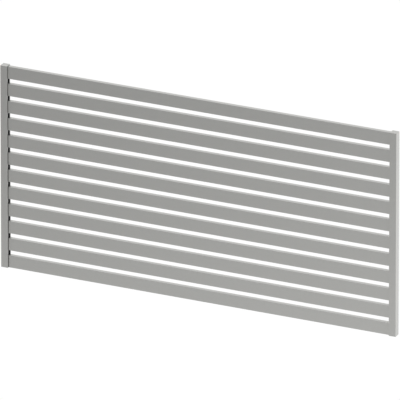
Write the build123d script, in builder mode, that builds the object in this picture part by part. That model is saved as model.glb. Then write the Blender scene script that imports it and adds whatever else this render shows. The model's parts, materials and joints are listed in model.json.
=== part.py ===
"""Steel slat fence panel: level hollow slats between two square uprights.

Millimetres. X runs along the panel from the left upright's outer face, Y runs from
front to back and Z runs up. The origin is the centre of that outer face.
"""

import os

from build123d import *

# Whole panel
panel_length = 2350.0
slat_count = 12
slat_gap = 30.0

# Slats: flat-sided steel tube with sharp corners, closed by the end rails
slat_height = 70.0
slat_thickness = 22.0
slat_wall = 1.2
slat_corner_radius = 0.4

# Uprights: square steel tube with sharp corners and a plate welded on each end
upright_width = 40.0
upright_depth = 40.0
upright_wall = 2.0
upright_corner_radius = 0.5
upright_top_reach = 4.0
upright_bottom_reach = 1.0
cap_thickness = 2.0
cap_edge_chamfer = 0.3

# End rails: moulded strips between the slat ends and the uprights
rail_thickness = 1.5
rail_edge_chamfer = 0.4

# Slat plugs: moulded spigots on the rails that carry the slat ends
plug_length = 32.0
plug_clearance = 0.3
plug_corner_chamfer = 1.6
plug_wall = 2.2
plug_floor = 3.0
plug_web = 2.0
plug_pocket_count = 4
plug_nose_chamfer = 1.0

# Sizes and places worked out from those above
slat_pitch = slat_height + slat_gap
slats_height = slat_count * slat_height + (slat_count - 1) * slat_gap
upright_height = upright_bottom_reach + slats_height + upright_top_reach
slats_bottom = upright_bottom_reach - upright_height / 2
slats_middle = slats_bottom + slats_height / 2
slat_centres = [slats_bottom + slat_height / 2 + i * slat_pitch for i in range(slat_count)]

tube_height = upright_height - 2 * cap_thickness
left_upright_x = upright_width / 2
right_upright_x = panel_length - upright_width / 2

left_rail_x = upright_width
right_rail_x = panel_length - upright_width - rail_thickness
slat_start = left_rail_x + rail_thickness
slat_length = right_rail_x - slat_start

plug_height = slat_height - 2 * slat_wall - 2 * plug_clearance
plug_depth = slat_thickness - 2 * slat_wall - 2 * plug_clearance
plug_pocket_depth = plug_depth - 2 * plug_wall
plug_pocket_height = (plug_height - 2 * plug_wall - (plug_pocket_count - 1) * plug_web) / plug_pocket_count
plug_pocket_pitch = plug_pocket_height + plug_web


def section_plane(x, z, facing=1):
    """Plane across the panel at one place, its normal along X and its local Y up."""
    return Plane(origin=(x, 0, z), x_dir=(0, facing, 0), z_dir=(facing, 0, 0))


def save(piece, name):
    """Label a finished piece and write it as a file of its own."""
    piece.label = name
    export_step(piece, f"parts/{name}.step")


def make_upright(x):
    """Square tube standing at one end of the panel."""
    with BuildPart() as upright:
        with BuildSketch(Plane(origin=(x, 0, -tube_height / 2))):
            RectangleRounded(upright_width, upright_depth, upright_corner_radius)
            offset(amount=-upright_wall, kind=Kind.INTERSECTION, mode=Mode.SUBTRACT)
        extrude(amount=tube_height)
    return upright.part


def make_cap(x, facing):
    """Plate that closes one end of an upright, its outer edge eased all round."""
    with BuildPart() as cap:
        with BuildSketch(Plane(origin=(x, 0, facing * tube_height / 2), z_dir=(0, 0, facing))):
            RectangleRounded(upright_width, upright_depth, upright_corner_radius)
        extrude(amount=cap_thickness)
        outer_face = cap.faces().filter_by(Axis.Z).sort_by(Axis.Z)[-1 if facing > 0 else 0]
        chamfer(outer_face.edges(), length=cap_edge_chamfer)
    return cap.part


def make_slat(z):
    """Flat-sided tube that spans from rail to rail."""
    with BuildPart() as slat:
        with BuildSketch(section_plane(slat_start, z)):
            RectangleRounded(slat_thickness, slat_height, slat_corner_radius)
            offset(amount=-slat_wall, kind=Kind.INTERSECTION, mode=Mode.SUBTRACT)
        extrude(amount=slat_length)
    return slat.part


def make_rail(x):
    """Strip that lines the inner side of an upright over the height of the slats."""
    with BuildPart() as rail:
        with BuildSketch(section_plane(x, slats_middle)):
            Rectangle(slat_thickness, slats_height)
        extrude(amount=rail_thickness)
        chamfer(rail.edges().filter_by(Axis.Z), length=rail_edge_chamfer)
    return rail.part


def make_plugs(x, facing):
    """Spigots inside the slat ends: ribbed cups, open towards the middle of the panel."""
    with BuildPart() as plugs:
        with BuildSketch(section_plane(x, slats_middle, facing)) as section:
            with GridLocations(0, slat_pitch, 1, slat_count):
                Rectangle(plug_depth, plug_height)
            chamfer(section.vertices(), length=plug_corner_chamfer)
        extrude(amount=plug_length)
        noses = plugs.faces().filter_by(Axis.X).group_by(Axis.X)[-1 if facing > 0 else 0]
        chamfer(noses.edges(), length=plug_nose_chamfer)
        with BuildSketch(section_plane(x + facing * plug_floor, slats_middle, facing)):
            with GridLocations(0, slat_pitch, 1, slat_count):
                with GridLocations(0, plug_pocket_pitch, 1, plug_pocket_count):
                    Rectangle(plug_pocket_depth, plug_pocket_height)
        extrude(amount=plug_length, mode=Mode.SUBTRACT)
    return plugs.part


os.makedirs("parts", exist_ok=True)

# Uprights, their end plates and the rails, left and right
sides = {
    "left": (left_upright_x, left_rail_x, slat_start, 1),
    "right": (right_upright_x, right_rail_x, right_rail_x, -1),
}
for side, (upright_x, rail_x, plug_x, inward) in sides.items():
    save(make_upright(upright_x), f"{side}_upright")
    save(make_cap(upright_x, 1), f"{side}_upright_top_cap")
    save(make_cap(upright_x, -1), f"{side}_upright_bottom_cap")
    save(make_rail(rail_x), f"{side}_slat_rail")
    save(make_plugs(plug_x, inward), f"{side}_slat_plugs")

# Slats, numbered from the bottom up
for number, z in enumerate(slat_centres, start=1):
    save(make_slat(z), f"slat_{number:02d}")
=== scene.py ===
"""Looks of the steel slat fence panel: powder coat, black mouldings, floor, light and camera."""

import json
import math

import bpy
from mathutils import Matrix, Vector


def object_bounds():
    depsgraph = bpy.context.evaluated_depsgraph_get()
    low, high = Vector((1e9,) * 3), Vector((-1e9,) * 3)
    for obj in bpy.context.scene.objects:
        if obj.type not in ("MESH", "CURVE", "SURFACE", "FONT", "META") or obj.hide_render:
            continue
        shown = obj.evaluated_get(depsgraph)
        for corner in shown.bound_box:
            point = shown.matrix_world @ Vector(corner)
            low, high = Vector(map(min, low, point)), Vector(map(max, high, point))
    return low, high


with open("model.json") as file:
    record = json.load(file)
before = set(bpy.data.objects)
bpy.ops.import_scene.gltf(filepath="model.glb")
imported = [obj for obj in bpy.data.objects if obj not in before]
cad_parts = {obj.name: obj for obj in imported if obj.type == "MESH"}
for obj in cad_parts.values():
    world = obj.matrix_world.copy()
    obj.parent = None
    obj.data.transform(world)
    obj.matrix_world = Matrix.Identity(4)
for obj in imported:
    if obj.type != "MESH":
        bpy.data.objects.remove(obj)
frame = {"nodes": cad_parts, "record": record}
cad_low, cad_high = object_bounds()
cad_middle = (cad_low + cad_high) / 2

# Camera, as the photograph was taken: far off, to the right of the panel and above it
view_azimuth = math.radians(25.093)
view_elevation = math.radians(22.027)
view_distance = 91.66
view_far_limit = 2 * view_distance
picture_pixels = 400
pixels_per_metre = 185.742
sensor_width = 36.0
target_right_of_left_face = 1.19106
target_above_middle = 0.00732

# Floor: its glow grows towards the back right, and it shows plain white to the camera
floor_side = 60.0
floor_drop = 0.45
floor_height = cad_low.z - floor_drop
floor_glow = 0.777
floor_glow_slope = (0.053, 0.05)
floor_glow_range = (0.35, 0.95)
floor_shown = 1.01

# Light: an even sky, and a soft lamp on the floor, placed from the middle of the panel
light_color = (1.0, 1.0, 1.0)
sky_strength = 1.01
lamp_place = (2.3, 3.4)
lamp_size = (4.0, 6.0)
lamp_lift = 0.01
lamp_power = 15.4

# Powder coat
coat_color = (0.505, 0.505, 0.488)
coat_metallic = 0.75
coat_roughness = (0.27, 0.33)
coat_sheen_size = 0.06
coat_tone = (0.985, 1.015)
coat_tone_size = 0.25
coat_flake = (0.94, 1.06)
coat_flake_size = 0.0006
coat_peel_size = 0.0018
coat_peel_depth = 0.00001

# Black mouldings
moulding_color = (0.012, 0.012, 0.013)
moulding_tone = (0.8, 1.2)
moulding_roughness = (0.6, 0.75)
moulding_patch_size = 0.02
moulding_specular = 0.02
moulding_grain_size = 0.0004
moulding_grain_depth = 0.00003


# Material tools

def new_material(name):
    """Empty node material, its node tree and its shader."""
    material = bpy.data.materials.new(name)
    material.use_nodes = True
    tree = material.node_tree
    return material, tree, tree.nodes["Principled BSDF"]


def opaque(color):
    """Colour with the full alpha that a socket takes."""
    return (*color, 1.0)


def add_texture(tree, kind, size):
    """Texture laid over the object's own place, its marks about the given size in metres."""
    place = tree.nodes.new("ShaderNodeTexCoord")
    texture = tree.nodes.new(kind)
    texture.inputs["Scale"].default_value = 1 / size
    tree.links.new(place.outputs["Object"], texture.inputs["Vector"])
    return texture


def add_noise(tree, size):
    """Soft noise from nought to one."""
    return add_texture(tree, "ShaderNodeTexNoise", size).outputs["Fac"]


def add_cells(tree, size):
    """Small cells, each with a level of its own."""
    return add_texture(tree, "ShaderNodeTexVoronoi", size).outputs["Color"]


def spread(tree, value, limits):
    """Stretch a value from nought to one over a range."""
    stretch = tree.nodes.new("ShaderNodeMapRange")
    stretch.inputs["To Min"].default_value, stretch.inputs["To Max"].default_value = limits
    tree.links.new(value, stretch.inputs["Value"])
    return stretch.outputs["Result"]


def tint(tree, color, factors):
    """A colour made lighter and darker by each of the factors."""
    result = tree.nodes.new("ShaderNodeRGB").outputs[0]
    result.default_value = opaque(color)
    for factor in factors:
        scale = tree.nodes.new("ShaderNodeVectorMath")
        scale.operation = "SCALE"
        tree.links.new(result, scale.inputs[0])
        tree.links.new(factor, scale.inputs["Scale"])
        result = scale.outputs["Vector"]
    return result


def add_bump(tree, shader, height, depth):
    """Raise the surface by a texture, to a depth in metres."""
    bump = tree.nodes.new("ShaderNodeBump")
    bump.inputs["Distance"].default_value = depth
    tree.links.new(height, bump.inputs["Height"])
    tree.links.new(bump.outputs["Normal"], shader.inputs["Normal"])


# Finishes of the panel

def powder_coat():
    """Silver-grey metallic powder coat: orange peel, fine flakes, slow changes of tone and sheen."""
    material, tree, shader = new_material("powder_coat")
    tone = spread(tree, add_noise(tree, coat_tone_size), coat_tone)
    flakes = spread(tree, add_cells(tree, coat_flake_size), coat_flake)
    tree.links.new(tint(tree, coat_color, [tone, flakes]), shader.inputs["Base Color"])
    sheen = spread(tree, add_noise(tree, coat_sheen_size), coat_roughness)
    tree.links.new(sheen, shader.inputs["Roughness"])
    shader.inputs["Metallic"].default_value = coat_metallic
    add_bump(tree, shader, add_noise(tree, coat_peel_size), coat_peel_depth)
    return material


def black_moulding():
    """Matt black moulded plastic with a fine spark-eroded grain, a little greyer in patches."""
    material, tree, shader = new_material("black_moulding")
    patches = add_noise(tree, moulding_patch_size)
    tone = spread(tree, patches, moulding_tone)
    tree.links.new(tint(tree, moulding_color, [tone]), shader.inputs["Base Color"])
    tree.links.new(spread(tree, patches, moulding_roughness), shader.inputs["Roughness"])
    shader.inputs["Specular IOR Level"].default_value = moulding_specular
    add_bump(tree, shader, add_noise(tree, moulding_grain_size), moulding_grain_depth)
    return material


finishes = {"powder_coat": powder_coat(), "black_plastic": black_moulding()}
for part in frame["record"]["subparts"]:
    slots = frame["nodes"][part["node"]].data.materials
    slots.clear()
    slots.append(finishes[part["material_slot"]])


# Floor

def floor_white():
    """Glow that grows slowly along one slope of the floor, and plain white where the camera sees it."""
    material, tree, shader = new_material("floor_white")
    shader.inputs["Base Color"].default_value = opaque((0, 0, 0))
    shader.inputs["Specular IOR Level"].default_value = 0
    shader.inputs["Emission Color"].default_value = opaque(light_color)
    place = tree.nodes.new("ShaderNodeTexCoord")
    along = tree.nodes.new("ShaderNodeVectorMath")
    along.operation = "DOT_PRODUCT"
    along.inputs[1].default_value = (*floor_glow_slope, 0)
    tree.links.new(place.outputs["Object"], along.inputs[0])
    total = tree.nodes.new("ShaderNodeMath")
    total.operation = "ADD"
    total.inputs[1].default_value = floor_glow
    tree.links.new(along.outputs["Value"], total.inputs[0])
    limit = tree.nodes.new("ShaderNodeClamp")
    limit.inputs["Min"].default_value, limit.inputs["Max"].default_value = floor_glow_range
    tree.links.new(total.outputs[0], limit.inputs["Value"])
    path = tree.nodes.new("ShaderNodeLightPath")
    seen = tree.nodes.new("ShaderNodeMix")
    seen.inputs["B"].default_value = floor_shown
    tree.links.new(path.outputs["Is Camera Ray"], seen.inputs["Factor"])
    tree.links.new(limit.outputs[0], seen.inputs["A"])
    tree.links.new(seen.outputs["Result"], shader.inputs["Emission Strength"])
    return material


def make_floor():
    """Plain pale floor well below the panel, its edge out of sight."""
    half = floor_side / 2
    corners = [(-half, -half, 0), (half, -half, 0), (half, half, 0), (-half, half, 0)]
    mesh = bpy.data.meshes.new("floor")
    mesh.from_pydata(corners, [], [(0, 1, 2, 3)])
    mesh.materials.append(floor_white())
    floor = bpy.data.objects.new("floor", mesh)
    floor.location = (cad_middle.x, cad_middle.y, floor_height)
    bpy.context.scene.collection.objects.link(floor)


make_floor()


# Light

def make_sky():
    """Even white light from all round."""
    world = bpy.data.worlds.new("sky")
    world.use_nodes = True
    sky = world.node_tree.nodes["Background"]
    sky.inputs["Color"].default_value = opaque(light_color)
    sky.inputs["Strength"].default_value = sky_strength
    bpy.context.scene.world = world


def make_lamp():
    """Soft lamp that lies on the floor at the back right, facing up, and lights the right-hand faces."""
    light = bpy.data.lights.new("lamp", "AREA")
    light.shape = "RECTANGLE"
    light.size, light.size_y = lamp_size
    light.energy = lamp_power
    lamp = bpy.data.objects.new("lamp", light)
    right, behind = lamp_place
    lamp.location = (cad_middle.x + right, cad_middle.y + behind, floor_height + lamp_lift)
    lamp.rotation_euler.x = math.pi
    lamp.visible_camera = False
    bpy.context.scene.collection.objects.link(lamp)


make_sky()
make_lamp()
bpy.context.scene.view_settings.view_transform = "Standard"


# Camera

def make_camera():
    """Long lens at the photograph's viewing angle."""
    data = bpy.data.cameras.new("camera")
    data.sensor_width = sensor_width
    data.lens = sensor_width * view_distance * pixels_per_metre / picture_pixels
    data.clip_end = view_far_limit
    camera = bpy.data.objects.new("camera", data)
    back = Vector((
        math.sin(view_azimuth) * math.cos(view_elevation),
        -math.cos(view_azimuth) * math.cos(view_elevation),
        math.sin(view_elevation),
    ))
    target = Vector((
        cad_low.x + target_right_of_left_face,
        cad_low.y,
        cad_middle.z + target_above_middle,
    ))
    camera.location = target + view_distance * back
    camera.rotation_mode = "QUATERNION"
    camera.rotation_quaternion = (-back).to_track_quat("-Z", "Y")
    bpy.context.scene.collection.objects.link(camera)
    bpy.context.scene.camera = camera


make_camera()
